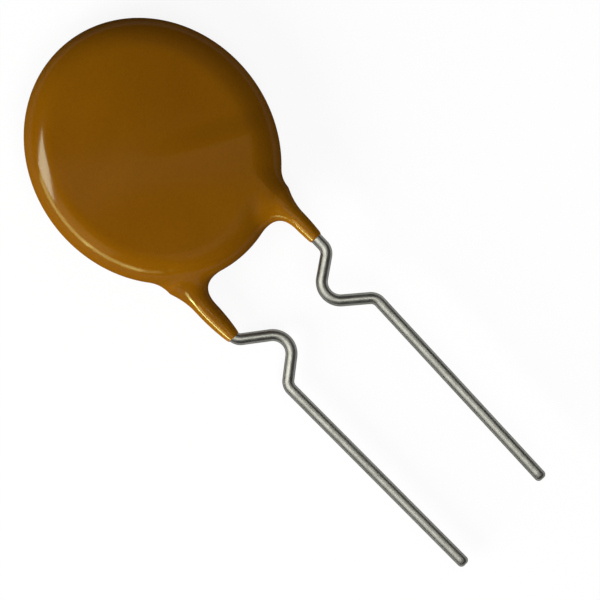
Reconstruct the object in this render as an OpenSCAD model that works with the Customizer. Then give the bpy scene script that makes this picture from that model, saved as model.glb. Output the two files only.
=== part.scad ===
// Radial-leaded resettable fuse, lying on the rear face of its dipped body.
// X runs across the two leads, the leads leave towards -Y, and the front face looks up along +Z.

/* [Body] */
// Short axis of the dipped body's oval
body_w = 10.25; // [9:0.05:13]
// Long axis of the dipped body's oval
body_l = 11.47; // [9.6:0.01:14]
// Lean of the oval's long axis towards the front lead's side
body_turn = 7; // [0:0.5:15]
// Epoxy over each lead, on the front and the rear face
skin_t = 0.4; // [0.3:0.05:0.8]
// Radius of the rounded rim
rim_r = 1.3; // [0.8:0.05:1.35]
// Radius of the hollow where a leg flows into the rim
blend_r = 1.3; // [0.4:0.05:1.5]

/* [Legs] */
// Reach of the front leg of epoxy below the body
front_leg_l = 1.58; // [0.8:0.02:1.7]
// Reach of the rear leg of epoxy below the body
rear_leg_l = 2.02; // [0.8:0.02:2.02]
// Epoxy round the front wire, halfway down its leg
front_leg_wall = 0.1; // [0.05:0.01:0.2]
// Epoxy round the rear wire, halfway down its leg
rear_leg_wall = 0.18; // [0.05:0.01:0.3]
// Epoxy round each wire at the tip of its leg
tip_wall = 0.04; // [0.02:0.01:0.08]

/* [Chip] */
// Least epoxy beside the edge of the chip
side_wall = 0.55; // [0.4:0.05:1.2]
// Thickness of the conductive polymer
chip_t = 0.8; // [0.5:0.05:1.6]
// Thickness of each electrode foil
foil_t = 0.05; // [0.03:0.01:0.1]

/* [Leads] */
// Diameter of the tinned wire
wire_d = 0.5; // [0.4:0.01:0.7]
// Pitch of the two leads below their kinks
pitch = 5.16; // [4.4:0.02:6.2]
// Shift of the pair of leads from the body's middle, towards the front lead's side
lead_shift = -0.11; // [-0.3:0.01:0.3]
// Front lead to the pair's middle line, inside the body
front_seat = 2.5; // [2.2:0.02:2.8]
// Rear lead to the pair's middle line, inside the body
rear_seat = 2.82; // [2.3:0.02:3]
// Straight wire from the body's end to the front kink
front_drop = 1.99; // [1.75:0.01:4]
// Straight wire from the body's end to the rear kink
rear_drop = 2.07; // [2.07:0.01:4]
// Depth of the front kink, in from the pitch line
front_kink = 1.37; // [1.1:0.01:1.6]
// Depth of the rear kink, in from the pitch line
rear_kink = 1.24; // [1:0.01:1.5]
// Slope of the wire going into a kink
kink_in = 54; // [45:1:60]
// Slope of the wire coming out of a kink
kink_out = 51; // [45:1:60]
// Bend radius at both ends of a kink
end_bend_r = 0.5; // [0.38:0.02:0.7]
// Bend radius at the crown of a kink
crown_r = 0.78; // [0.4:0.02:0.9]
// Straight run of the front lead below its kink
front_run = 9.95; // [5:0.05:20]
// Straight run of the rear lead below its kink
rear_run = 10.25; // [5:0.05:20]
// Lean of each straight run towards the other
toe_in = 1.1; // [0:0.1:3]
// Bevel round each cut wire end
end_bevel = 0.06; // [0.02:0.01:0.12]

/* [Solder] */
// Solder left between wire and foil
solder_film = 0.03; // [0.02:0.01:0.06]
// Spread of the solder on the foil, beside the wire
solder_spread = 0.4; // [0.2:0.05:0.6]
// Bare foil left round the solder's end
solder_margin = 0.3; // [0.1:0.05:0.5]

/* [Hidden] */
$fn = 96;

// Levels through the thickness, from the rear face up
rear_z = skin_t + wire_d / 2;
rear_foil_z = skin_t + wire_d + solder_film;
chip_z = rear_foil_z + foil_t;
front_foil_z = chip_z + chip_t;
front_z = front_foil_z + foil_t + solder_film + wire_d / 2;
body_t = front_z + wire_d / 2 + skin_t;

// Plan sizes
half_w = body_w / 2;
half_l = body_l / 2;
chip_r = min(half_w, half_l) - side_wall;
edge_r = min(rim_r, body_t / 2);
wire_r = wire_d / 2;
// How fast a leg thins out inside the rim
leg_fade = 0.6;
// How far a ball in the wire stands proud of it, and laps the lengths it joins
knot = 0.003;

// Solder fillet: its half width on the foil, and the wire's middle above the foil
wire_h = solder_film + wire_r;
solder_w = wire_r + solder_spread;

// A lead: place across the body, level, leg tip, leg radius, side, seat, start of the kink, its depth,
// and the straight run
FRONT = [lead_shift + front_seat, front_z, -half_l - front_leg_l, wire_r + front_leg_wall,
         1, front_seat, -half_l - front_drop, front_kink, front_run];
REAR = [lead_shift - rear_seat, rear_z, -half_l - rear_leg_l, wire_r + rear_leg_wall,
        -1, rear_seat, -half_l - rear_drop, rear_kink, rear_run];

// Half the soldered length of a lead at its place across the body, to the micrometre
function solder_y(x) = round(1000 * sqrt(pow(chip_r - solder_margin - solder_w, 2) - pow(x, 2))) / 1000;

// Steps of the dipped form: along a rib, down a leg, round the rim, across the lower edge
rib_n = 9;
leg_n = 18;
rim_n = 38;
low_n = 6;

// Shape of the dipped form, as distances that are negative inside it

function share(t) = min(1, max(0, t));

// The body's oval in plan, leaning by its turn
function oval_gap(x, y) =
    let(p = [x * cos(body_turn) - y * sin(body_turn), x * sin(body_turn) + y * cos(body_turn)])
    let(q = max(0.05, norm([p[0] / half_w, p[1] / half_l])))
    let(g = max(0.001, norm([p[0] / pow(half_w, 2), p[1] / pow(half_l, 2)])))
    q * (q - 1) / g;

// The body: the oval with flat faces and a rounded rim
function body_gap(x, y, z) =
    let(e = oval_gap(x, y) + edge_r)
    let(h = abs(z - body_t / 2) - (body_t / 2 - edge_r))
    min(max(e, h), 0) + norm([max(e, 0), max(h, 0)]) - edge_r;

// Where a leg's line crosses the lower half of the oval
function foot_y(leg) =
    let(w = [cos(body_turn), sin(body_turn)] / half_w)
    let(l = [sin(body_turn), cos(body_turn)] / half_l)
    let(k = pow(w[1], 2) + pow(l[1], 2))
    let(m = leg[0] * (l[0] * l[1] - w[0] * w[1]))
    let(n = pow(leg[0], 2) * (pow(w[0], 2) + pow(l[0], 2)) - 1)
    (-m - sqrt(pow(m, 2) - k * n)) / k;

// A leg's radius swells from its tip to halfway up, and shrinks again inside the rim
function leg_radius(leg, y) =
    let(foot = foot_y(leg))
    let(s = share((y - leg[2]) / (foot - leg[2])))
    let(tip = wire_r + tip_wall)
    tip + (leg[3] - tip) * (1 - pow(1 - min(1, 2 * s), 2)) - leg_fade * max(0, y - foot);

function leg_gap(leg, x, y, z) = norm([x - leg[0], z - leg[1]]) - leg_radius(leg, y);

// Two forms run together with a hollow of the blend radius
function melt(a, b) =
    max(blend_r, min(a, b)) - norm([max(blend_r - a, 0), max(blend_r - b, 0)]);

function coat_gap(x, y, z) =
    let(legs = min(leg_gap(FRONT, x, y, z), leg_gap(REAR, x, y, z)))
    max(melt(body_gap(x, y, z), legs), -z, z - body_t);

// Level of the widest line: mid thickness on the body, the wire's level on a leg
function edge_z(x, y) =
    let(leg = x > 0 ? FRONT : REAR)
    let(w = share(0.5 + (oval_gap(x, y) - leg_gap(leg, x, y, leg[1])) / (2 * blend_r)))
    body_t / 2 + (leg[1] - body_t / 2) * w;

// Distance along a rib at which the form ends, between a point inside and one outside
function reach(p, d, low, high, n = 26) =
    let(t = (low + high) / 2)
    let(x = p[0] + d[0] * t)
    let(y = p[1] + d[1] * t)
    n == 0 ? t
        : coat_gap(x, y, edge_z(x, y)) < 0 ? reach(p, d, t, high, n - 1)
        : reach(p, d, low, t, n - 1);

// Height of the surface over a plan point, between a level inside and one outside
function surface_z(x, y, low, high, n = 26) =
    let(z = (low + high) / 2)
    n == 0 ? z
        : coat_gap(x, y, z) < 0 ? surface_z(x, y, z, high, n - 1)
        : surface_z(x, y, low, z, n - 1);

function front_face(x, y) =
    let(z = surface_z(x, y, edge_z(x, y), body_t + 1))
    z > body_t - 0.001 ? body_t : z;

function rear_face(x, y) =
    let(z = surface_z(x, y, edge_z(x, y), -1))
    z < 0.001 ? 0 : z;

// A rib runs from a point on the spine, over the edge and back below the same point
function rib(p, d, limit) =
    let(len = reach(p, d, 0, limit))
    let(zone = min(len, 1.25 * edge_r))
    let(at = [for (k = [0:rib_n]) k == 0 ? 0 : len - zone * (1 - sin(90 * k / rib_n))])
    let(xy = [for (t = at) [p[0] + d[0] * t, p[1] + d[1] * t]])
    concat(
        [for (k = [0:rib_n - 1]) [xy[k][0], xy[k][1], front_face(xy[k][0], xy[k][1])]],
        [[xy[rib_n][0], xy[rib_n][1], edge_z(xy[rib_n][0], xy[rib_n][1])]],
        [for (k = [rib_n - 1:-1:0]) [xy[k][0], xy[k][1], rear_face(xy[k][0], xy[k][1])]]
    );

// Spine of a leg, from the flat of the face down to the tip
function spine(leg, j) =
    let(top = foot_y(leg) + 1.3 * edge_r)
    [leg[0], top + (leg[2] - top) * j / leg_n];

// Inner ribs lean towards the middle of the gap between the legs, then lie level
function inner_rib(leg, p) =
    let(to = [0.3 * leg[0] - p[0], min(0, -half_l - 0.4 - p[1])])
    rib(p, to / norm(to), norm(to));

function outer_rib(leg, p) = rib(p, [leg[4], 0], half_w);

// The dipped form, lofted rib by rib round its outline
module dipped_form() {
    low_f = atan2(spine(FRONT, 0)[1] * 0.85, half_w);
    low_r = 180 - atan2(spine(REAR, 0)[1] * 0.85, half_w);
    ribs = concat(
        [for (i = [0:rim_n])
            let(a = low_f + (low_r - low_f) * i / rim_n)
            rib([0, 0], [cos(a), sin(a)], body_l)],
        [for (j = [0:leg_n]) outer_rib(REAR, spine(REAR, j))],
        [for (j = [leg_n:-1:0]) inner_rib(REAR, spine(REAR, j))],
        [for (i = [0:low_n])
            let(x = (i / low_n - 0.5) * 0.44 * front_seat)
            let(d = [x, -half_l])
            rib([0, 0], d / norm(d), 1.2 * half_l)],
        [for (j = [0:leg_n]) inner_rib(FRONT, spine(FRONT, j))],
        [for (j = [leg_n:-1:0]) outer_rib(FRONT, spine(FRONT, j))]
    );
    count = len(ribs);
    row = 2 * rib_n + 1;
    faces = [for (i = [0:count - 1])
        let(a = i * row)
        let(b = (i + 1) % count * row)
        let(same = norm(ribs[i][0] - ribs[(i + 1) % count][0]) < 0.0001)
        for (m = [0:row - 2])
            for (f = same && m == 0 ? [[a, b + 1, a + 1]]
                : same && m == row - 2 ? [[a + m, b + m, a + m + 1]]
                : [[a + m, b + m, b + m + 1], [a + m, b + m + 1, a + m + 1]])
                f];
    polyhedron(points = [for (r = ribs) for (p = r) p], faces = faces, convexity = 6);
}

// A straight length of wire from p to q in the lead's own plane, bevelled at q where asked
module wire_run(p, q, side, bevel = 0) {
    d = [side * (q[0] - p[0]), q[1] - p[1]];
    straight = norm(d) - bevel;
    translate([side * p[0], p[1], 0])
        rotate([0, 0, atan2(d[1], d[0])])
            rotate([0, 90, 0]) {
                cylinder(r = wire_r, h = straight);
                if (bevel > 0)
                    translate([0, 0, straight])
                        cylinder(r1 = wire_r, r2 = wire_r - bevel, h = bevel);
            }
}

// A ball that joins a straight length and a bend at p, where the wire points along d
module wire_knot(p, d, side) {
    translate([side * p[0], p[1], 0])
        rotate([0, 0, 90 + atan2(d[1], side * d[0])])
            sphere(r = wire_r + knot);
}

// A bend of wire round c, from angle a to the larger angle b
module wire_bend(c, r, a, b, side) {
    translate([side * c[0], c[1], 0])
        rotate([0, 0, side > 0 ? a : 180 - b])
            rotate_extrude(angle = b - a)
                translate([r, 0])
                    circle(d = wire_d);
}

// A lead: straight over its foil, a kink that bulges inwards, then the long straight run
module lead(spec) {
    side = spec[4];
    seat = spec[5];
    crown_x = pitch / 2 - spec[7];
    slope_in = (seat - crown_x - (end_bend_r + crown_r) * (1 - cos(kink_in))) / sin(kink_in);
    slope_out = (spec[7] - (crown_r + end_bend_r) * (1 - cos(kink_out))) / sin(kink_out);
    top = [seat, solder_y(spec[0])];
    p0 = [seat, spec[6]];
    c1 = p0 - [end_bend_r, 0];
    p1 = c1 + end_bend_r * [cos(kink_in), -sin(kink_in)];
    into = [-sin(kink_in), -cos(kink_in)];
    p2 = p1 + slope_in * into;
    c2 = p2 + crown_r * [cos(kink_in), -sin(kink_in)];
    p3 = c2 - crown_r * [cos(kink_out), sin(kink_out)];
    out = [sin(kink_out), -cos(kink_out)];
    p4 = p3 + slope_out * out;
    c3 = p4 - end_bend_r * [cos(kink_out), sin(kink_out)];
    p5 = c3 + end_bend_r * [cos(toe_in), -sin(toe_in)];
    down = [-sin(toe_in), -cos(toe_in)];
    p6 = p5 + spec[8] * down;
    translate([lead_shift, 0, spec[1]]) {
        wire_run(top, p0 + [0, knot], side);
        wire_bend(c1, end_bend_r, -kink_in, 0, side);
        wire_run(p1 + knot * into, p2 - knot * into, side);
        wire_bend(c2, crown_r, 180 - kink_in, 180 + kink_out, side);
        wire_run(p3 + knot * out, p4 - knot * out, side);
        wire_bend(c3, end_bend_r, -toe_in, kink_out, side);
        wire_run(p5 + knot * down, p6, side, end_bevel);
        for (k = [[p0, [0, -1]], [p1, into], [p2, into], [p3, out], [p4, out], [p5, down]])
            wire_knot(k[0], k[1], side);
    }
}

// Solder that wets the foil along a lead, slopes up to the wire and rounds off past both ends
module solder(spec) {
    len = 2 * solder_y(spec[0]);
    crest = 0.8 * wire_r;
    difference() {
        union() {
            translate([0, len / 2, 0])
                rotate([90, 0, 0])
                    linear_extrude(height = len)
                        polygon([[-solder_w, 0], [solder_w, 0], [crest, wire_h], [-crest, wire_h]]);
            for (e = [-1, 1])
                translate([0, e * len / 2, 0])
                    rotate([0, 0, e > 0 ? 0 : 180])
                        rotate_extrude(angle = 180)
                            polygon([[0, 0], [solder_w, 0], [crest, wire_h], [0, wire_h]]);
        }
        translate([0, len / 2, wire_h])
            rotate([90, 0, 0])
                cylinder(d = wire_d, h = len + 2 * solder_w);
    }
}

module ptc_disc() {
    color([0.09, 0.09, 0.1])
        translate([0, 0, chip_z])
            cylinder(r = chip_r, h = chip_t);
}

module rear_electrode() {
    color([0.62, 0.6, 0.55])
        translate([0, 0, rear_foil_z])
            cylinder(r = chip_r, h = foil_t);
}

module front_electrode() {
    color([0.62, 0.6, 0.55])
        translate([0, 0, front_foil_z])
            cylinder(r = chip_r, h = foil_t);
}

module front_solder() {
    color([0.66, 0.67, 0.68])
        translate([FRONT[0], 0, front_foil_z + foil_t])
            solder(FRONT);
}

module rear_solder() {
    color([0.66, 0.67, 0.68])
        translate([REAR[0], 0, rear_foil_z])
            rotate([0, 180, 0])
                solder(REAR);
}

module front_lead() {
    color([0.78, 0.77, 0.74])
        lead(FRONT);
}

module rear_lead() {
    color([0.78, 0.77, 0.74])
        lead(REAR);
}

module epoxy_coat() {
    color([0.5, 0.31, 0.03])
        difference() {
            dipped_form();
            ptc_disc();
            front_electrode();
            rear_electrode();
            front_solder();
            rear_solder();
            front_lead();
            rear_lead();
        }
}

epoxy_coat();
ptc_disc();
front_electrode();
rear_electrode();
front_solder();
rear_solder();
front_lead();
rear_lead();
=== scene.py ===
"""Dresses and lights a radial-leaded resettable fuse that lies on the rear face of its dipped body.

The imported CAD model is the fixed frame. The dipped coat and the two tinned leads are rebuilt here as fine meshes in
the same place, the pieces inside the coat keep their CAD meshes, and every piece gets a procedural finish.
Sizes are in millimetres until a mesh is made, and X runs across the leads, which leave the body towards -Y.
"""

import logging
import math
from collections.abc import Callable
from dataclasses import dataclass, field
from enum import Enum

import bmesh
import bpy
import numpy as np
from mathutils import Matrix, Vector

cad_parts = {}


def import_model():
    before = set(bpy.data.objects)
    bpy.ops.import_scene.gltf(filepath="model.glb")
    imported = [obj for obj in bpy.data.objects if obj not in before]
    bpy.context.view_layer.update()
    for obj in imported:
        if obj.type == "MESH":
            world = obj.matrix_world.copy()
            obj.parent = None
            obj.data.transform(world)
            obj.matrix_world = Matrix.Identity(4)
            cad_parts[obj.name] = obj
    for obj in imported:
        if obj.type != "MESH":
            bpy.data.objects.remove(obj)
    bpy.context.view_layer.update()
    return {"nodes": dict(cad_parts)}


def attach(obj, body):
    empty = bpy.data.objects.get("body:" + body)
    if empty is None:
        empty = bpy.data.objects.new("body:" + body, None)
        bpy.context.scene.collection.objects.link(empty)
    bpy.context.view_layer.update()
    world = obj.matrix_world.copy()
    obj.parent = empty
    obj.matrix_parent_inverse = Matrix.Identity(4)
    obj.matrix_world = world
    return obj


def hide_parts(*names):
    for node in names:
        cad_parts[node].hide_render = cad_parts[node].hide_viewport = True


LOG = logging.getLogger("resettable_fuse")
MM = 0.001
UP = Vector((0.0, 0.0, 1.0))

Colour = tuple[float, float, float, float]
Tint = tuple[float, float, float]
Rib = tuple[float, float, float, float, float]
Faces = list[tuple[int, ...]]
Socket = bpy.types.NodeSocket


class Slot(Enum):
    """Material slots of the part's record, which this script names but gives to no piece."""

    EPOXY = "epoxy"
    WIRE = "wire"


class Side(Enum):
    """The face of the chip that a lead lies on, with the sign of its X."""

    FRONT = 1
    REAR = -1


class Throw(Enum):
    """What a lamp gives: shade alone or highlights alone."""

    SHADE = "shade"
    SHINE = "shine"


class Target(Enum):
    """The pieces that a lamp reaches."""

    ALL = "all"
    COAT = "coat"
    LEADS = "leads"


def clamp(value: np.ndarray) -> np.ndarray:
    """Limits each value to the range from 0 to 1."""
    return np.clip(value, 0.0, 1.0)


def ease(value: np.ndarray) -> np.ndarray:
    """Turns a share from 0 to 1 into one that starts and ends level."""
    share = clamp(value)
    return share * share * (3.0 - 2.0 * share)


@dataclass(frozen=True)
class Grain:
    """A noise: features per unit of place, finer layers, swirl, and the values at which it starts and is full."""

    scale: float = 1.0
    detail: float = 2.0
    swirl: float = 0.0
    start: float = 0.3
    full: float = 0.7
    stretch: tuple[float, float, float] | None = None


@dataclass(frozen=True)
class Relief:
    """A bump: the share of its effect and its height in metres."""

    strength: float
    depth: float


class Graph:
    """A material's node tree, with short calls to add and link its nodes."""

    MIX_FACTOR, MIX_FIRST, MIX_SECOND, MIX_RESULT = 0, 6, 7, 2

    def __init__(self, name: str) -> None:
        """Makes a new material whose tree holds only its output.

        Args:
            name: Name of the material.
        """
        self.material = bpy.data.materials.new(name)
        self.material.use_nodes = True
        self.tree = self.material.node_tree
        self.tree.nodes.clear()
        self.output = self.add("OutputMaterial")

    def add(self, kind: str, **inputs: object) -> bpy.types.Node:
        """Adds a node and sets its inputs.

        Args:
            kind: Node type, without the leading ShaderNode.
            inputs: Values or sockets by input name, with spaces written as underscores.

        Returns:
            The new node.
        """
        node = self.tree.nodes.new("ShaderNode" + kind)
        for key, value in inputs.items():
            self.feed(node, key.replace("_", " "), value)
        return node

    def feed(self, node: bpy.types.Node, key: str | int, value: object) -> None:
        """Links a socket to an input, or sets the input to a value.

        Args:
            node: Node that takes the value.
            key: Name or place of the input.
            value: A socket, a number, a colour or a vector.
        """
        socket = node.inputs[key]
        if isinstance(value, Socket):
            self.tree.links.new(value, socket)
        else:
            socket.default_value = value

    def fill(self, node: bpy.types.Node, *values: object) -> bpy.types.Node:
        """Feeds a node's first inputs in order.

        Args:
            node: Node that takes the values.
            values: Values or sockets.

        Returns:
            The same node.
        """
        for place, value in enumerate(values):
            self.feed(node, place, value)
        return node

    def place(self) -> Socket:
        """Gives the place on the object, in metres in the part's frame."""
        return self.add("TexCoord").outputs["Object"]

    def stored(self, attribute: str, output: str = "Fac") -> Socket:
        """Gives what a mesh stores under a name.

        Args:
            attribute: Name of the stored number or vector.
            output: Fac for a number, Vector for a vector.

        Returns:
            The socket.
        """
        node = self.add("Attribute")
        node.attribute_name = attribute
        return node.outputs[output]

    def noise(self, place: Socket, grain: Grain) -> Socket:
        """Makes a noise from 0 to 1.

        Args:
            place: Place to read it at.
            grain: The noise.

        Returns:
            The noise value.
        """
        if grain.stretch is not None:
            place = self.add("Mapping", Vector=place, Scale=grain.stretch).outputs["Vector"]
        node = self.add("TexNoise", Vector=place, Scale=grain.scale, Detail=grain.detail, Distortion=grain.swirl)
        return node.outputs[0]

    def span(self, value: Socket, low: float, high: float, to_low: float, to_high: float) -> Socket:
        """Maps the range from low to high onto the one from to_low to to_high, and holds it there."""
        node = self.fill(self.add("MapRange"), value, low, high, to_low, to_high)
        return node.outputs[0]

    def effect(self, value: Socket, grain: Grain, to_low: float = 0.0, to_high: float = 1.0) -> Socket:
        """Maps a noise from its start and full values onto a range."""
        return self.span(value, grain.start, grain.full, to_low, to_high)

    def mix(self, factor: Socket, first: object, second: object) -> Socket:
        """Mixes two colours.

        Args:
            factor: Share of the second colour.
            first: First colour or socket.
            second: Second colour or socket.

        Returns:
            The mixed colour.
        """
        node = self.add("Mix")
        node.data_type = "RGBA"
        for place, value in ((self.MIX_FACTOR, factor), (self.MIX_FIRST, first), (self.MIX_SECOND, second)):
            self.feed(node, place, value)
        return node.outputs[self.MIX_RESULT]

    def largest(self, first: Socket, second: Socket) -> Socket:
        """Gives the larger of two values.

        Args:
            first: First value.
            second: Second value.

        Returns:
            The larger one.
        """
        node = self.add("Math")
        node.operation = "MAXIMUM"
        return self.fill(node, first, second).outputs[0]

    def bump(self, height: Socket, relief: Relief, under: Socket | None = None) -> Socket:
        """Turns a height into a bumped normal.

        Args:
            height: Height from 0 to 1.
            relief: The bump's strength and depth.
            under: Normal to bump further.

        Returns:
            The normal.
        """
        node = self.add("Bump", Strength=relief.strength, Distance=relief.depth, Height=height)
        if under is not None:
            self.feed(node, "Normal", under)
        return node.outputs["Normal"]

    def close(self, shader: bpy.types.Node) -> bpy.types.Material:
        """Links the last shader to the surface and gives the finished material."""
        self.tree.links.new(shader.outputs[0], self.output.inputs["Surface"])
        return self.material


@dataclass(frozen=True)
class EpoxyFinish:
    """Glossy ochre dipping epoxy, with faint mottling, pigment grain and the long waves of a dipped skin."""

    body: Colour = (0.19, 0.0705, 0.0009, 1.0)
    deep: Colour = (0.174, 0.0625, 0.0007, 1.0)
    thin: Colour = (0.25, 0.098, 0.0014, 1.0)
    pigment: Colour = (0.115, 0.039, 0.0005, 1.0)
    pigment_share: float = 0.2
    cloud: Grain = Grain(260.0, 3.0, 0.4)
    speck: Grain = Grain(9000.0, start=0.35)
    patch: Grain = Grain(1400.0, 3.0)
    wave: Grain = Grain(420.0, 1.0)
    dimple: Grain = Grain(5200.0)
    wave_relief: Relief = Relief(0.2, 0.00002)
    dimple_relief: Relief = Relief(0.08, 0.000004)
    base_rough: tuple[float, float] = (0.42, 0.58)
    coat_rough: float = 0.12
    coat_ior: float = 2.5

    def material(self) -> bpy.types.Material:
        """Builds the material, which reads the coat's thinness and gloss from the mesh.

        Returns:
            The material.
        """
        g = Graph("dipping_epoxy")
        at = g.place()
        tint = g.mix(g.effect(g.noise(at, self.cloud), self.cloud), self.deep, self.body)
        tint = g.mix(g.stored("thinness"), tint, self.thin)
        speck = g.effect(g.noise(at, self.speck), self.speck, to_high=self.pigment_share)
        tint = g.mix(speck, tint, self.pigment)
        rough = g.effect(g.noise(at, self.patch), self.patch, *self.base_rough)
        waves = g.bump(g.noise(at, self.wave), self.wave_relief)
        peel = g.bump(g.noise(at, self.dimple), self.dimple_relief, waves)
        return g.close(g.add("BsdfPrincipled", Base_Color=tint, Roughness=rough, Normal=peel,
                             Specular_IOR_Level=0.0, Coat_Weight=g.stored("gloss"), Coat_IOR=self.coat_ior,
                             Coat_Roughness=self.coat_rough, Coat_Normal=peel))


@dataclass(frozen=True)
class TinnedWireFinish:
    """Tinned wire with drawn lines along it, dull patches in the tin and fine scuffs."""

    bright: Colour = (0.34, 0.337, 0.312, 1.0)
    dull: Colour = (0.29, 0.287, 0.264, 1.0)
    line: Colour = (0.2, 0.197, 0.18, 1.0)
    line_share: float = 0.15
    edge_tint: Colour = (0.15, 0.15, 0.13, 1.0)
    drawn: Grain = Grain(start=0.45, full=0.75, stretch=(14.0, 14.0, 0.35))
    patch: Grain = Grain(detail=3.0, swirl=0.6, start=0.38, full=0.66, stretch=(2.2, 2.2, 1.1))
    scuff: Grain = Grain(detail=1.0, stretch=(4.0, 4.0, 3.0))
    line_relief: Relief = Relief(0.025, 0.000006)
    scuff_relief: Relief = Relief(0.01, 0.000005)
    rough: tuple[float, float] = (0.32, 0.42)

    def material(self) -> bpy.types.Material:
        """Builds the material, which reads the wire's own place from the mesh.

        Returns:
            The material.
        """
        g = Graph("tinned_wire")
        own = g.stored("wire_place", "Vector")
        drawn, scuff = g.noise(own, self.drawn), g.noise(own, self.scuff)
        tone = g.mix(g.effect(g.noise(own, self.patch), self.patch), self.bright, self.dull)
        tone = g.mix(g.effect(drawn, self.drawn, to_high=self.line_share), tone, self.line)
        marks = g.bump(scuff, self.scuff_relief, g.bump(drawn, self.line_relief))
        return g.close(g.add("BsdfPrincipled", Base_Color=tone, Metallic=1.0, Normal=marks,
                             Roughness=g.effect(scuff, self.scuff, *self.rough), Specular_Tint=self.edge_tint))


@dataclass(frozen=True)
class PolymerFinish:
    """Carbon-filled polymer of the chip: nearly black, matt, with a cut edge's fine grain."""

    dark: Colour = (0.008, 0.008, 0.009, 1.0)
    pale: Colour = (0.022, 0.022, 0.024, 1.0)
    filler: Grain = Grain(6000.0, 4.0, start=0.35)
    patch: Grain = Grain(2500.0)
    relief: Relief = Relief(0.3, 0.00001)
    rough: tuple[float, float] = (0.5, 0.7)

    def material(self) -> bpy.types.Material:
        """Builds the material.

        Returns:
            The material.
        """
        g = Graph("carbon_polymer")
        at = g.place()
        filler = g.noise(at, self.filler)
        tone = g.mix(g.effect(filler, self.filler), self.dark, self.pale)
        rough = g.effect(g.noise(at, self.patch), self.patch, *self.rough)
        return g.close(g.add("BsdfPrincipled", Base_Color=tone, Roughness=rough,
                             Normal=g.bump(filler, self.relief)))


@dataclass(frozen=True)
class FoilFinish:
    """Nickel foil bonded to the chip, with a nodular, slightly warm surface."""

    bright: Colour = (0.62, 0.58, 0.51, 1.0)
    dull: Colour = (0.42, 0.39, 0.34, 1.0)
    nodule: Grain = Grain(8000.0, 3.0)
    stain: Grain = Grain(500.0, 3.0, 0.5, start=0.35)
    relief: Relief = Relief(0.3, 0.000008)
    rough: tuple[float, float] = (0.32, 0.5)

    def material(self) -> bpy.types.Material:
        """Builds the material.

        Returns:
            The material.
        """
        g = Graph("nickel_foil")
        at = g.place()
        nodule = g.noise(at, self.nodule)
        tone = g.mix(g.effect(g.noise(at, self.stain), self.stain), self.bright, self.dull)
        return g.close(g.add("BsdfPrincipled", Base_Color=tone, Metallic=1.0,
                             Roughness=g.effect(nodule, self.nodule, *self.rough),
                             Normal=g.bump(nodule, self.relief)))


@dataclass(frozen=True)
class SolderFinish:
    """Reflowed tin solder: grey, with frosted and shiny patches."""

    bright: Colour = (0.66, 0.67, 0.68, 1.0)
    frosted: Colour = (0.45, 0.46, 0.47, 1.0)
    frost: Grain = Grain(2200.0, 4.0, 0.8, start=0.4, full=0.62)
    haze: tuple[float, float] = (0.35, 0.65)
    relief: Relief = Relief(0.25, 0.00001)
    rough: tuple[float, float] = (0.24, 0.52)

    def material(self) -> bpy.types.Material:
        """Builds the material.

        Returns:
            The material.
        """
        g = Graph("reflowed_solder")
        frost = g.noise(g.place(), self.frost)
        tone = g.mix(g.effect(frost, self.frost), self.bright, self.frosted)
        return g.close(g.add("BsdfPrincipled", Base_Color=tone, Metallic=1.0,
                             Roughness=g.span(frost, *self.haze, *self.rough),
                             Normal=g.bump(frost, self.relief)))


@dataclass(frozen=True)
class FloorFinish:
    """Matt white board, which stays white to the camera and in reflections and keeps a soft shadow."""

    board: Colour = (0.95, 0.95, 0.945, 1.0)
    fibre: Colour = (0.93, 0.93, 0.925, 1.0)
    bounce: Colour = (0.32, 0.32, 0.32, 1.0)
    white: Colour = (1.0, 1.0, 1.0, 1.0)
    weave: Grain = Grain(1800.0, 3.0)
    white_share: float = 0.9

    def material(self) -> bpy.types.Material:
        """Builds the material.

        Returns:
            The material.
        """
        g = Graph("white_board")
        path = g.add("LightPath")
        seen = g.largest(path.outputs["Is Camera Ray"], path.outputs["Is Glossy Ray"])
        seen = g.largest(seen, path.outputs["Is Transmission Ray"])
        tone = g.mix(g.effect(g.noise(g.place(), self.weave), self.weave), self.board, self.fibre)
        matt = g.add("BsdfDiffuse", Color=g.mix(seen, self.bounce, tone))
        white = g.add("Emission", Color=self.white, Strength=1.0)
        share = g.span(seen, 0.0, 1.0, 0.0, self.white_share)
        return g.close(g.fill(g.add("MixShader"), share, matt.outputs[0], white.outputs[0]))


@dataclass(frozen=True)
class LegSpec:
    """A leg of epoxy down a wire: the wire's place, the leg's lowest point and its radius halfway down."""

    x: float
    z: float
    tip_y: float
    radius: float


@dataclass(frozen=True)
class WireGauge:
    """Sizes that both leads share, with angles in degrees, and the fineness of their meshes."""

    radius: float = 0.25
    pitch: float = 5.16
    shift: float = -0.11
    kink_in: float = 54.0
    kink_out: float = 51.0
    end_bend_r: float = 0.5
    crown_r: float = 0.78
    toe_in: float = 1.1
    bevel: float = 0.17
    bevel_steps: tuple[float, ...] = (0.3, 0.65, 0.88, 1.0)
    seat_step: float = 0.25
    slope_step: float = 0.1
    run_step: float = 0.2
    end_bend_parts: int = 18
    crown_parts: int = 34
    sides: int = 40


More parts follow.
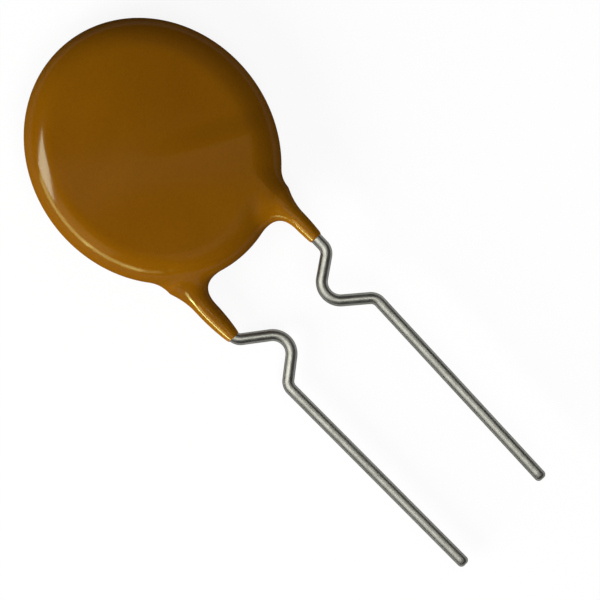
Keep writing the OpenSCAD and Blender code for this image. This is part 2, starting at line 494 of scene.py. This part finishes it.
@dataclass
class DippedForm:
    """The dipped body as a distance, negative inside: an oval with a rounded rim, and a leg down each wire."""

    half_w: float = 5.125
    half_l: float = 5.735
    turn: float = math.radians(7.0)
    thick: float = 2.76
    rim_r: float = 1.3
    blend_r: float = 1.3
    leg_fade: float = 0.6
    wire_r: float = 0.25
    tip_wall: float = 0.04
    wet_wall: float = 0.006
    meniscus: float = 0.12
    least_share: float = 0.05
    least_slope: float = 0.001
    halvings: int = 40
    front: LegSpec = LegSpec(x=2.39, z=2.11, tip_y=-7.315, radius=0.35)
    rear: LegSpec = LegSpec(x=-2.93, z=0.65, tip_y=-7.93, radius=0.43)

    def leaning(self, x: np.ndarray, y: np.ndarray) -> tuple[np.ndarray, np.ndarray]:
        """Gives plan places along the oval's short and long axes."""
        c, s = math.cos(self.turn), math.sin(self.turn)
        return x * c - y * s, x * s + y * c

    def oval_gap(self, x: np.ndarray, y: np.ndarray) -> np.ndarray:
        """Gives the distance to the body's oval in plan.

        Args:
            x: Places across.
            y: Places along.

        Returns:
            The distances.
        """
        u, v = self.leaning(x, y)
        q = np.maximum(self.least_share, np.hypot(u / self.half_w, v / self.half_l))
        slope = np.maximum(self.least_slope, np.hypot(u / self.half_w ** 2, v / self.half_l ** 2))
        return q * (q - 1.0) / slope

    def body_gap(self, x: np.ndarray, y: np.ndarray, z: np.ndarray) -> np.ndarray:
        """Gives the distance to the oval with flat faces and a rounded rim.

        Args:
            x: Places across.
            y: Places along.
            z: Levels.

        Returns:
            The distances.
        """
        e = self.oval_gap(x, y) + self.rim_r
        h = np.abs(z - self.thick / 2) - (self.thick / 2 - self.rim_r)
        outside = np.hypot(np.maximum(e, 0.0), np.maximum(h, 0.0))
        return np.minimum(np.maximum(e, h), 0.0) + outside - self.rim_r

    def foot_y(self, leg: LegSpec) -> float:
        """Gives where a leg's line crosses the lower half of the oval.

        Args:
            leg: The leg.

        Returns:
            The place along.
        """
        c, s = math.cos(self.turn), math.sin(self.turn)
        wide, tall = (c / self.half_w, s / self.half_w), (s / self.half_l, c / self.half_l)
        k = wide[1] ** 2 + tall[1] ** 2
        m = leg.x * (tall[0] * tall[1] - wide[0] * wide[1])
        n = leg.x ** 2 * (wide[0] ** 2 + tall[0] ** 2) - 1.0
        return (-m - math.sqrt(m * m - k * n)) / k

    def leg_gap(self, leg: LegSpec, x: np.ndarray, y: np.ndarray, z: np.ndarray) -> np.ndarray:
        """Gives the distance to a leg, which thins out inside the rim and closes on the wire at its tip.

        Args:
            leg: The leg.
            x: Places across.
            y: Places along.
            z: Levels.

        Returns:
            The distances.
        """
        foot = self.foot_y(leg)
        share = clamp((y - leg.tip_y) / (foot - leg.tip_y))
        tip, wet = self.wire_r + self.tip_wall, self.wire_r + self.wet_wall
        radius = tip + (leg.radius - tip) * (1.0 - (1.0 - np.minimum(1.0, 2.0 * share)) ** 2)
        near = clamp((y - leg.tip_y) / self.meniscus)
        radius = wet + (radius - wet) * np.sqrt(1.0 - (1.0 - near) ** 2)
        return np.hypot(x - leg.x, z - leg.z) - radius + self.leg_fade * np.maximum(0.0, y - foot)

    def coat_gap(self, x: np.ndarray, y: np.ndarray, z: np.ndarray) -> np.ndarray:
        """Gives the distance to the whole form, with its legs run into the body.

        Args:
            x: Places across.
            y: Places along.
            z: Levels.

        Returns:
            The distances.
        """
        body = self.body_gap(x, y, z)
        legs = np.minimum(self.leg_gap(self.front, x, y, z), self.leg_gap(self.rear, x, y, z))
        k = self.blend_r
        fillet = np.hypot(np.maximum(k - body, 0.0), np.maximum(k - legs, 0.0))
        melt = np.maximum(k, np.minimum(body, legs)) - fillet
        return np.maximum(melt, np.maximum(-z, z - self.thick))

    def edge_z(self, x: np.ndarray, y: np.ndarray) -> np.ndarray:
        """Gives the level of the widest line: mid thickness on the body, the wire's level on a leg.

        Args:
            x: Places across.
            y: Places along.

        Returns:
            The levels.
        """
        level = np.where(x > 0, self.front.z, self.rear.z)
        legs = np.where(x > 0, self.leg_gap(self.front, x, y, level), self.leg_gap(self.rear, x, y, level))
        w = clamp(0.5 + (self.oval_gap(x, y) - legs) / (2.0 * self.blend_r))
        return self.thick / 2 + (level - self.thick / 2) * w

    def edge_gap(self, x: np.ndarray, y: np.ndarray) -> np.ndarray:
        """Gives the distance to the form at the level of its widest line."""
        return self.coat_gap(x, y, self.edge_z(x, y))

    def _close_in(self, low: np.ndarray, high: np.ndarray,
                  gap: Callable[[np.ndarray], np.ndarray]) -> np.ndarray:
        """Finds where a distance turns from negative to positive, by halving.

        Args:
            low: Values inside the form.
            high: Values outside the form.
            gap: Gives the distance at each value.

        Returns:
            The values on the surface.
        """
        for _ in range(self.halvings):
            mid = (low + high) / 2
            inside = gap(mid) < 0
            low, high = np.where(inside, mid, low), np.where(inside, high, mid)
        return (low + high) / 2

    def reach(self, start: np.ndarray, way: np.ndarray, limit: np.ndarray) -> np.ndarray:
        """Finds how far each rib runs from its plan point before the form ends, short of a limit outside it."""
        (x, y), (dx, dy) = start.T, way.T
        return self._close_in(np.zeros(len(start)), limit, lambda run: self.edge_gap(x + dx * run, y + dy * run))

    def surface_z(self, x: np.ndarray, y: np.ndarray, outside: float) -> np.ndarray:
        """Finds the level of the front or rear surface, the one on the side of a level outside the form."""
        return self._close_in(self.edge_z(x, y), np.full_like(x, outside), lambda z: self.coat_gap(x, y, z))


def mesh_object(name: str, points: np.ndarray, faces: Faces) -> bpy.types.Object:
    """Makes a smooth-shaded object from points in millimetres.

    Args:
        name: Name of the object and its mesh.
        points: One row per point.
        faces: Point numbers of each face.

    Returns:
        The object, linked to the scene.
    """
    mesh = bpy.data.meshes.new(name)
    mesh.from_pydata((points * MM).tolist(), [], faces)
    mesh.update()
    mesh.polygons.foreach_set("use_smooth", np.ones(len(mesh.polygons), dtype=bool))
    obj = bpy.data.objects.new(name, mesh)
    bpy.context.scene.collection.objects.link(obj)
    return obj


def point_rows(obj: bpy.types.Object, key: str) -> np.ndarray:
    """Reads a vector of every point of a mesh.

    Args:
        obj: Object with the mesh.
        key: Name of the vector.

    Returns:
        One row per point.
    """
    flat = np.empty(len(obj.data.vertices) * 3)
    obj.data.vertices.foreach_get(key, flat)
    return flat.reshape(-1, 3)


def store(obj: bpy.types.Object, name: str, values: np.ndarray) -> None:
    """Stores a number or a vector at every point of a mesh.

    Args:
        obj: Object with the mesh.
        name: Name to store it under.
        values: One number or one row per point.
    """
    kind, key = ("FLOAT", "value") if values.ndim == 1 else ("FLOAT_VECTOR", "vector")
    made = obj.data.attributes.new(name, kind, "POINT")
    made.data.foreach_set(key, values.ravel())


def wear(obj: bpy.types.Object, material: bpy.types.Material) -> None:
    """Gives an object one material for all its faces."""
    obj.data.materials.clear()
    obj.data.materials.append(material)


@dataclass(frozen=True)
class Swell:
    """One of the long waves that make the dipped face uneven."""

    across: float
    along: float
    phase: float

    def height(self, x: np.ndarray, y: np.ndarray) -> np.ndarray:
        """Gives the wave's height, from -1 to 1."""
        return np.sin(self.across * x + self.along * y + self.phase)


@dataclass(frozen=True)
class RibPlan:
    """How the coat's ribs are laid out: their numbers, shares of the form's sizes, and a step beyond its faces."""

    rim_ribs: int = 260
    leg_ribs: int = 90
    low_ribs: int = 30
    bridge_ribs: int = 36
    flat_steps: int = 10
    rim_steps: int = 32
    rim_zone: float = 1.25
    spine_start: float = 1.3
    spine_ease: float = 1.5
    rim_lift: float = 0.85
    inner_lean: float = 0.7
    inner_drop: float = 0.4
    low_share: float = 0.22
    rim_limit: float = 2.0
    low_limit: float = 1.2
    bridge_limit: float = 1.3
    beyond: float = 1.0


@dataclass(frozen=True)
class CoatGloss:
    """How the coat's gloss varies: less on steep sides and thin epoxy, more along the top of each leg."""

    face: float = 0.045
    crest: float = 0.32
    crest_shift: float = 0.25
    crest_width: float = 0.45
    steep_start: float = 0.7
    steep_span: float = 0.2
    dulling: float = 0.75


@dataclass
class DippedCoat:
    """The epoxy coat: a fine loft of ribs over the dipped form, slightly crowned and uneven as a dipped skin is.

    Points closer than the weld are joined and edges shorter than the sliver go, both in metres.
    """

    name: str = "dipped_coat"
    form: DippedForm = field(default_factory=DippedForm)
    plan: RibPlan = RibPlan()
    gloss: CoatGloss = CoatGloss()
    crown: float = 0.28
    unevenness: float = 0.008
    swells: tuple[Swell, ...] = (Swell(1.1, 0.4, 0.6), Swell(0.5, -1.3, 2.1), Swell(1.9, 1.2, 4.0))
    sag: float = 0.12
    sag_turn: float = math.radians(63.0)
    sag_width: float = 1.1
    sag_start: float = -1.0
    sag_run: float = 4.0
    fade_start: float = -0.2
    fade_run: float = 1.0
    thin_cover: float = 0.3
    thin_start: float = 0.3
    thin_run: float = 1.2
    weld: float = 2e-7
    sliver: float = 1e-8

    def ribs(self) -> tuple[np.ndarray, np.ndarray, np.ndarray]:
        """Lays out the ribs in order round the outline.

        Returns:
            Start points, directions and distances that lie outside.
        """
        form = self.form
        front, rear = self._spine(form.front), self._spine(form.rear)
        groups = (
            self._rim_ribs(front[0], rear[0]),
            [self._outer(form.rear, y) for y in rear],
            [self._inner(form.rear, y) for y in rear[::-1]],
            self._low_ribs(),
            [self._inner(form.front, y) for y in front],
            [self._outer(form.front, y) for y in front[::-1]],
        )
        rows: list[Rib] = []
        for group, follower in zip(groups, groups[1:] + groups[:1]):
            rows += group + self._bridge(group[-1], follower[0])
        table = np.array(rows)
        return table[:, 0:2], table[:, 2:4], table[:, 4]

    def _spine(self, leg: LegSpec) -> np.ndarray:
        """Gives where a leg's ribs start, closer together towards its tip.

        Args:
            leg: The leg.

        Returns:
            Places along, from inside the rim to the tip.
        """
        top = self.form.foot_y(leg) + self.plan.spine_start * self.form.rim_r
        share = np.linspace(0.0, 1.0, self.plan.leg_ribs + 1)
        return top + (leg.tip_y - top) * (1.0 - (1.0 - share) ** self.plan.spine_ease)

    def _outer(self, leg: LegSpec, y: float) -> Rib:
        """Gives a rib from a leg's spine straight out."""
        return leg.x, y, math.copysign(1.0, leg.x), 0.0, self.form.half_w

    def _inner(self, leg: LegSpec, y: float) -> Rib:
        """Gives a rib from a leg's spine towards the gap between the legs.

        Args:
            leg: The leg.
            y: Place along the spine.

        Returns:
            The rib.
        """
        dx, dy = -self.plan.inner_lean * leg.x, min(0.0, -self.form.half_l - self.plan.inner_drop - y)
        run = math.hypot(dx, dy)
        return leg.x, y, dx / run, dy / run, run

    def _rim_ribs(self, front_top: float, rear_top: float) -> list[Rib]:
        """Gives the ribs from the middle to the rim, over the top from one leg to the other.

        Args:
            front_top: Top of the front leg's spine.
            rear_top: Top of the rear leg's spine.

        Returns:
            The ribs.
        """
        plan, form = self.plan, self.form
        start = math.atan2(front_top * plan.rim_lift, form.half_w)
        stop = math.pi - math.atan2(rear_top * plan.rim_lift, form.half_w)
        return [(0.0, 0.0, math.cos(a), math.sin(a), plan.rim_limit * form.half_l)
                for a in np.linspace(start, stop, plan.rim_ribs + 1)]

    def _low_ribs(self) -> list[Rib]:
        """Gives the ribs from the middle to the rim between the legs.

        Returns:
            The ribs.
        """
        plan, form = self.plan, self.form
        ribs = []
        for x in np.linspace(-plan.low_share, plan.low_share, plan.low_ribs + 1) * form.front.x:
            run = math.hypot(x, form.half_l)
            ribs.append((0.0, 0.0, x / run, -form.half_l / run, plan.low_limit * form.half_l))
        return ribs

    def _bridge(self, first: Rib, last: Rib) -> list[Rib]:
        """Fills the fan between two ribs that start at different points.

        Args:
            first: Rib before the fan.
            last: Rib after the fan.

        Returns:
            The ribs between them, none where the two start at the same point.
        """
        both = np.array([first, last])
        start, way, limit = both[:, :2], both[:, 2:4], both[:, 4]
        if np.allclose(start[0], start[1]):
            return []
        ends = start + way * self.form.reach(start, way, limit)[:, None]
        ribs = []
        for share in np.linspace(0.0, 1.0, self.plan.bridge_ribs + 2)[1:-1]:
            begin = start[0] * (1.0 - share) + start[1] * share
            ahead = ends[0] * (1.0 - share) + ends[1] * share - begin
            run = float(np.hypot(*ahead))
            ribs.append((*begin, *(ahead / run), self.plan.bridge_limit * run))
        return ribs

    def _loops(self) -> np.ndarray:
        """Gives the points along each rib, out over the front surface and back over the rear one.

        Returns:
            One row of points per rib.
        """
        plan, form = self.plan, self.form
        start, way, limit = self.ribs()
        length = form.reach(start, way, limit)[:, None]
        zone = np.minimum(length, plan.rim_zone * form.rim_r)
        flat = np.linspace(0.0, 1.0, plan.flat_steps + 1)[None, :-1] * (length - zone)
        turn = np.sin(np.linspace(0.0, math.pi / 2, plan.rim_steps + 1))[None, :]
        along = np.concatenate([flat, length - zone * (1.0 - turn)], axis=1)
        x = start[:, :1] + way[:, :1] * along
        y = start[:, 1:] + way[:, 1:] * along
        edge = form.edge_z(x, y)
        top = form.surface_z(x, y, form.thick + plan.beyond)
        low = form.surface_z(x, y, -plan.beyond)
        top[:, -1], low[:, -1] = edge[:, -1], edge[:, -1]
        top = self._crowned(x, y, top, edge)
        upper, lower = np.stack([x, y, top], axis=2), np.stack([x, y, low], axis=2)
        return np.concatenate([upper, lower[:, -2::-1]], axis=1)

    def _crowned(self, x: np.ndarray, y: np.ndarray, top: np.ndarray, edge: np.ndarray) -> np.ndarray:
        """Lowers the front surface towards the rim, makes it uneven and lets it sag, but not on the legs.

        Args:
            x: Plan places across.
            y: Plan places along.
            top: Levels of the front surface.
            edge: Levels of the widest line.

        Returns:
            The new levels.
        """
        form = self.form
        u, v = form.leaning(x, y)
        q = np.minimum(1.0, np.hypot(u / form.half_w, v / form.half_l))
        swell = sum(wave.height(x, y) for wave in self.swells) / len(self.swells)
        c, s = math.cos(self.sag_turn), math.sin(self.sag_turn)
        sagging = ease((x * s - y * c - self.sag_start) / self.sag_run)
        sagging = sagging * ease(0.5 + (x * c + y * s) / self.sag_width)
        drop = self.crown * q ** 2 + self.unevenness * (1.0 - swell) * q + self.sag * sagging
        drop = drop * (1.0 - ease((form.oval_gap(x, y) - self.fade_start) / self.fade_run))
        return edge + (top - edge) * (1.0 - drop / (form.thick / 2))

    def build(self) -> bpy.types.Object:
        """Builds the coat's mesh.

        Returns:
            The coat.
        """
        loops = self._loops()
        count, width = loops.shape[:2]
        faces: Faces = []
        for i in range(count):
            a, b = i * width, (i + 1) % count * width
            faces += [(a + m, b + m, b + m + 1, a + m + 1) for m in range(width - 1)]
        obj = mesh_object(self.name, loops.reshape(-1, 3), faces)
        work = bmesh.new()
        work.from_mesh(obj.data)
        bmesh.ops.remove_doubles(work, verts=work.verts, dist=self.weld)
        bmesh.ops.dissolve_degenerate(work, edges=work.edges, dist=self.sliver)
        bmesh.ops.recalc_face_normals(work, faces=work.faces)
        work.to_mesh(obj.data)
        work.free()
        self._store_shares(obj)
        return obj

    def _store_shares(self, obj: bpy.types.Object) -> None:
        """Stores how thin the epoxy is over a wire, and its gloss.

        Args:
            obj: The coat.
        """
        form, gloss = self.form, self.gloss
        x, y, z = (point_rows(obj, "co") / MM).T
        steep = ease((gloss.steep_start - np.abs(point_rows(obj, "normal")[:, 2])) / gloss.steep_span)
        thin, crest = np.zeros(len(x)), np.zeros(len(x))
        for leg in (form.front, form.rear):
            cover = np.hypot(x - leg.x, z - leg.z) - form.wire_r
            down = ease((form.foot_y(leg) + self.thin_start - y) / self.thin_run)
            thin = np.maximum(thin, (1.0 - ease(cover / self.thin_cover)) * down)
            off = np.abs(x - leg.x + gloss.crest_shift * leg.radius) / (gloss.crest_width * leg.radius)
            crest = np.maximum(crest, ease(2.0 * (1.0 - off)) * down * (z > leg.z))
        shine = gloss.face * (1.0 - gloss.dulling * np.maximum(steep, thin))
        store(obj, "thinness", thin)
        store(obj, "gloss", shine * (1.0 - crest) + gloss.crest * crest)

    def dress(self, obj: bpy.types.Object) -> None:
        """Gives the coat its finish and its place in the frame.

        Args:
            obj: The coat.
        """
        wear(obj, EpoxyFinish().material())
        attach(obj, "root")
        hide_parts("epoxy_coat")


@dataclass
class TinnedLead:
    """A lead: straight over its foil, a kink that bulges inwards, then the long straight run to a cut end."""

    side: Side
    seat: float
    level: float
    inner_y: float
    kink_y: float
    kink_depth: float
    run: float
    gauge: WireGauge = WireGauge()

    @property
    def name(self) -> str:
        """Names the piece for the face that the lead lies on."""
        return "tinned_wire_" + self.side.name.lower()

    @property
    def node(self) -> str:
        """Names the CAD node that the piece stands for."""
        return self.side.name.lower() + "_lead"

    @staticmethod
    def _straight(points: list[tuple[float, float]], length: float, angle: float, step: float) -> None:
        """Adds a straight length to a route.

        Args:
            points: The route so far.
            length: Length to add.
            angle: Direction, outwards from straight down.
            step: Distance between points.
        """
        x, y = points[-1]
        parts = max(1, round(length / step))
        for k in range(1, parts + 1):
            points.append((x + math.sin(angle) * length * k / parts, y - math.cos(angle) * length * k / parts))

    @staticmethod
    def _bend(points: list[tuple[float, float]], radius: float, start: float, stop: float, parts: int) -> None:
        """Adds a bend to a route.

        Args:
            points: The route so far.
            radius: Radius of the bend.
            start: Direction before it, outwards from straight down.
            stop: Direction after it.
            parts: Number of points.
        """
        x, y = points[-1]
        way = math.copysign(1.0, stop - start)
        cx, cy = x + way * radius * math.cos(start), y + way * radius * math.sin(start)
        for k in range(1, parts + 1):
            a = start + (stop - start) * k / parts
            points.append((cx - way * radius * math.cos(a), cy - way * radius * math.sin(a)))

    def route(self) -> np.ndarray:
        """Gives points along the middle of the wire, with X measured outwards.

        Returns:
            One row per point, from the soldered end to the start of the cut end's bevel.
        """
        g = self.gauge
        turn_in, turn_out, toe = (math.radians(a) for a in (g.kink_in, g.kink_out, g.toe_in))
        crown_x = g.pitch / 2 - self.kink_depth
        both = g.end_bend_r + g.crown_r
        slope_in = (self.seat - crown_x - both * (1.0 - math.cos(turn_in))) / math.sin(turn_in)
        slope_out = (self.kink_depth - both * (1.0 - math.cos(turn_out))) / math.sin(turn_out)
        points = [(self.seat, self.inner_y)]
        self._straight(points, self.inner_y - self.kink_y, 0.0, g.seat_step)
        self._bend(points, g.end_bend_r, 0.0, -turn_in, g.end_bend_parts)
        self._straight(points, slope_in, -turn_in, g.slope_step)
        self._bend(points, g.crown_r, -turn_in, turn_out, g.crown_parts)
        self._straight(points, slope_out, turn_out, g.slope_step)
        self._bend(points, g.end_bend_r, turn_out, -toe, g.end_bend_parts)
        self._straight(points, self.run - g.bevel, -toe, g.run_step)
        return np.array(points)

    def _rings(self) -> tuple[np.ndarray, np.ndarray]:
        """Sets rings of points round the route, with a rounded bevel at the cut end.

        Returns:
            The points, and the place of each on the wire: out, up and along.
        """
        g = self.gauge
        route = self.route()
        step = np.diff(route, axis=0)
        way = np.vstack([step[:1], (step[:-1] + step[1:]) / 2, step[-1:]])
        way /= np.linalg.norm(way, axis=1)[:, None]
        turn = np.array(g.bevel_steps) * math.pi / 2
        middle = np.vstack([route, route[-1] + way[-1] * g.bevel * np.sin(turn)[:, None]])
        ahead = np.vstack([way, np.tile(way[-1], (len(turn), 1))])
        radius = np.concatenate([np.full(len(route), g.radius), g.radius - g.bevel * (1.0 - np.cos(turn))])
        along = np.concatenate([[0.0], np.cumsum(np.linalg.norm(np.diff(middle, axis=0), axis=1))])
        angle = np.linspace(0.0, 2.0 * math.pi, g.sides, endpoint=False)
        out, up = radius[:, None] * np.cos(angle), radius[:, None] * np.sin(angle)
        x = g.shift + self.side.value * (middle[:, :1] - ahead[:, 1:] * out)
        y = middle[:, 1:] + ahead[:, :1] * out
        points = np.stack([x, y, self.level + up], axis=2)
        own = np.stack([out, up, np.broadcast_to(along[:, None], out.shape)], axis=2)
        return points.reshape(-1, 3), own.reshape(-1, 3)

    def build(self) -> bpy.types.Object:
        """Sweeps the wire along its route.

        Returns:
            The lead.
        """
        sides = self.gauge.sides
        points, own = self._rings()
        last = len(points) - sides
        faces: Faces = []
        for a in range(0, last, sides):
            b = a + sides
            faces += [(a + k, a + (k + 1) % sides, b + (k + 1) % sides, b + k) for k in range(sides)]
        faces += [tuple(range(sides)), tuple(range(last, last + sides))]
        obj = mesh_object(self.name, points, faces)
        store(obj, "wire_place", own)
        work = bmesh.new()
        work.from_mesh(obj.data)
        bmesh.ops.recalc_face_normals(work, faces=work.faces)
        for face in work.faces:
            face.smooth = len(face.verts) < sides
        work.to_mesh(obj.data)
        work.free()
        return obj

    def dress(self, obj: bpy.types.Object, material: bpy.types.Material) -> None:
        """Gives the lead its finish and its place in the frame.

        Args:
            obj: The lead.
            material: Finish that both leads share.
        """
        wear(obj, material)
        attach(obj, "root")
        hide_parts(self.node)


@dataclass
class ChipStack:
    """The chip, its foils and the solder inside the coat, which keep their CAD meshes."""

    nodes: dict[str, bpy.types.Object]

    def dress(self) -> list[str]:
        """Gives each inner piece its finish.

        Returns:
            Names of the dressed pieces.
        """
        foil, solder = FoilFinish().material(), SolderFinish().material()
        finish = {
            "ptc_disc": PolymerFinish().material(),
            "front_electrode": foil,
            "rear_electrode": foil,
            "front_solder": solder,
            "rear_solder": solder,
        }
        for name, material in finish.items():
            wear(self.nodes[name], material)
        return sorted(finish)


@dataclass(frozen=True)
class Lamp:
    """A soft lamp: where it stands as seen in the picture, its size in metres, and its glow, where 1 is white."""

    name: str
    picture_angle: float
    from_zenith: float
    width: float
    height: float
    glow: float
    distance: float = 0.4
    roll: float = 0.0
    warmth: Tint = (1.0, 1.0, 1.0)


@dataclass(frozen=True)
class LampGroup:
    """Lamps that give the same kind of light to the same pieces."""

    throw: Throw
    target: Target
    lamps: tuple[Lamp, ...]


STRIP_TINT: Tint = (0.96, 1.0, 0.36)
WIRE_TINT: Tint = (1.0, 1.0, 0.94)
# A lamp's numbers: angle in the picture, angle from the zenith, width, height, glow, and its distance if unusual.
LAMP_GROUPS = (
    LampGroup(Throw.SHADE, Target.ALL, (
        Lamp("key", 219.0, 68.0, 0.2, 0.2, 11.2, 0.3),
        Lamp("fill", 300.0, 25.0, 0.2, 0.2, 6.0),
        Lamp("back_fill", 70.0, 35.0, 0.2, 0.2, 0.8),
    )),
    LampGroup(Throw.SHINE, Target.COAT, (
        Lamp("side_box", 192.5, 57.0, 0.118, 0.205, 36.0, roll=-27.0, warmth=(0.92, 1.0, 0.74)),
        Lamp("low_strip_left", 214.0, 77.0, 0.045, 0.014, 19.0, 0.07, warmth=STRIP_TINT),
        Lamp("low_strip_below", 243.0, 77.0, 0.036, 0.014, 19.0, 0.07, warmth=STRIP_TINT),
        Lamp("low_strip_end", 260.0, 77.0, 0.026, 0.011, 7.0, 0.07, warmth=STRIP_TINT),
        Lamp("top_strip_narrow", 197.0, 3.0, 0.012, 0.5, 0.6, 0.6),
        Lamp("top_strip_middle", 197.0, 3.0, 0.03, 0.55, 0.55, 0.6),
        Lamp("top_strip_broad", 197.0, 3.0, 0.05, 0.6, 0.5, 0.6),
        Lamp("leg_glint", 226.0, 57.0, 0.2, 0.2, 2.4, warmth=(1.0, 0.85, 0.3)),
    )),
    LampGroup(Throw.SHINE, Target.LEADS, (
        Lamp("wire_box_runs", 224.0, 12.0, 0.14, 1.0, 1.75, warmth=WIRE_TINT),
        Lamp("wire_box_bends", 199.0, 40.0, 0.14, 0.4, 2.2, warmth=WIRE_TINT),
        Lamp("wire_box_kinks", 176.0, 34.0, 0.12, 0.46, 2.9, warmth=WIRE_TINT),
    )),
)


@dataclass
class Studio:
    """White board, soft lamps and the camera that looks straight down on the part.

    The aim, the middle, the width across the picture and the sensor are in millimetres, other lengths in metres.
    """

    aim: tuple[float, float, float] = (0.137, -8.7, 1.4)
    middle: tuple[float, float, float] = (0.0, 0.0, 1.4)
    across: float = 24.9
    turn: float = 46.24
    distance: float = 0.3
    sensor: float = 36.0
    clip: tuple[float, float] = (0.01, 20.0)
    floor_half: float = 4.0
    floor_drop: float = 0.00001
    world_colour: Colour = (1.0, 1.0, 1.0, 1.0)
    world_glow: float = 0.07
    groups: tuple[LampGroup, ...] = LAMP_GROUPS

    def axes(self) -> tuple[Vector, Vector]:
        """Gives the picture's right and up as unit vectors in the part's frame."""
        a = math.radians(self.turn)
        return Vector((math.sin(a), -math.cos(a), 0.0)), Vector((math.cos(a), math.sin(a), 0.0))

    def build(self, reach: dict[Target, list[bpy.types.Object]]) -> None:
        """Builds the floor, the world, the lamps and the camera.

        Args:
            reach: Pieces that each kind of lamp is kept to.
        """
        self._floor()
        self._world()
        lit = {}
        for target, pieces in reach.items():
            lit[target] = bpy.data.collections.new("lit_" + target.value)
            for piece in pieces:
                lit[target].objects.link(piece)
        for group in self.groups:
            for lamp in group.lamps:
                self._lamp(lamp, group.throw, lit.get(group.target))
        self._camera()
        bpy.context.scene.view_settings.view_transform = "Standard"

    def _floor(self) -> None:
        """Lays the white board under the part."""
        s = self.floor_half / MM
        corners = np.array([(-s, -s, 0.0), (s, -s, 0.0), (s, s, 0.0), (-s, s, 0.0)])
        floor = mesh_object("floor", corners, [(0, 1, 2, 3)])
        floor.location.z = -self.floor_drop
        wear(floor, FloorFinish().material())

    def _world(self) -> None:
        """Sets an even, dim surround."""
        world = bpy.data.worlds.new("surround")
        world.use_nodes = True
        back = world.node_tree.nodes["Background"]
        back.inputs["Color"].default_value = self.world_colour
        back.inputs["Strength"].default_value = self.world_glow
        bpy.context.scene.world = world

    @staticmethod
    def _stand(name: str, data: bpy.types.ID, axes: tuple[Vector, ...], place: Vector) -> bpy.types.Object:
        """Stands a lamp or a camera in the scene.

        Args:
            name: Name of the object.
            data: The lamp or the camera.
            axes: Its own right, up and back.
            place: Where it stands, in metres.

        Returns:
            The object.
        """
        obj = bpy.data.objects.new(name, data)
        turn = Matrix(axes).transposed().to_4x4()
        turn.translation = place
        obj.matrix_world = turn
        bpy.context.scene.collection.objects.link(obj)
        return obj

    def _lamp(self, lamp: Lamp, throw: Throw, lit: bpy.types.Collection | None) -> None:
        """Stands one lamp round the part and turns it towards the part.

        Args:
            lamp: The lamp.
            throw: What the lamp gives.
            lit: Pieces that the lamp is kept to, or none for all.
        """
        right, up = self.axes()
        angle, lean, roll = (math.radians(a) for a in (lamp.picture_angle, lamp.from_zenith, lamp.roll))
        towards = (right * math.cos(angle) + up * math.sin(angle)) * math.sin(lean) + UP * math.cos(lean)
        data = bpy.data.lights.new(lamp.name, "AREA")
        data.shape = "RECTANGLE"
        data.size, data.size_y = lamp.width, lamp.height
        data.energy = lamp.glow * math.pi * lamp.width * lamp.height
        data.color = lamp.warmth
        side = UP.cross(towards).normalized()
        rise = towards.cross(side)
        c, s = math.cos(roll), math.sin(roll)
        axes = side * c - rise * s, rise * c + side * s, towards
        obj = self._stand(lamp.name, data, axes, Vector(self.middle) * MM + towards * lamp.distance)
        obj.visible_camera = False
        obj.visible_glossy = throw is Throw.SHINE
        obj.visible_diffuse = throw is Throw.SHADE
        obj.light_linking.receiver_collection = lit

    def _camera(self) -> None:
        """Hangs the camera straight above the part, turned as the picture is."""
        data = bpy.data.cameras.new("camera")
        data.sensor_width = self.sensor
        data.lens = self.sensor * self.distance / (self.across * MM)
        data.clip_start, data.clip_end = self.clip
        place = Vector(self.aim) * MM + UP * self.distance
        bpy.context.scene.camera = self._stand("camera", data, (*self.axes(), UP), place)


def main() -> None:
    """Loads the frame, builds and dresses each piece in order, and sets the studio."""
    logging.basicConfig(level=logging.INFO, format="%(name)s: %(message)s")
    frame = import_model()
    coat = DippedCoat()
    body = coat.build()
    coat.dress(body)
    LOG.info("%s: %d faces", body.name, len(body.data.polygons))
    wire = TinnedWireFinish().material()
    leads = (
        TinnedLead(Side.FRONT, seat=2.5, level=2.11, inner_y=2.726, kink_y=-7.725, kink_depth=1.37, run=9.95),
        TinnedLead(Side.REAR, seat=2.82, level=0.65, inner_y=2.134, kink_y=-7.805, kink_depth=1.24, run=10.25),
    )
    wires = []
    for lead in leads:
        obj = lead.build()
        lead.dress(obj, wire)
        wires.append(obj)
        LOG.info("%s: %d faces", obj.name, len(obj.data.polygons))
    for name in ChipStack(frame["nodes"]).dress():
        LOG.info("%s: keeps its CAD mesh", name)
    Studio().build({Target.COAT: [body], Target.LEADS: wires})


if __name__ == "__main__":
    main()
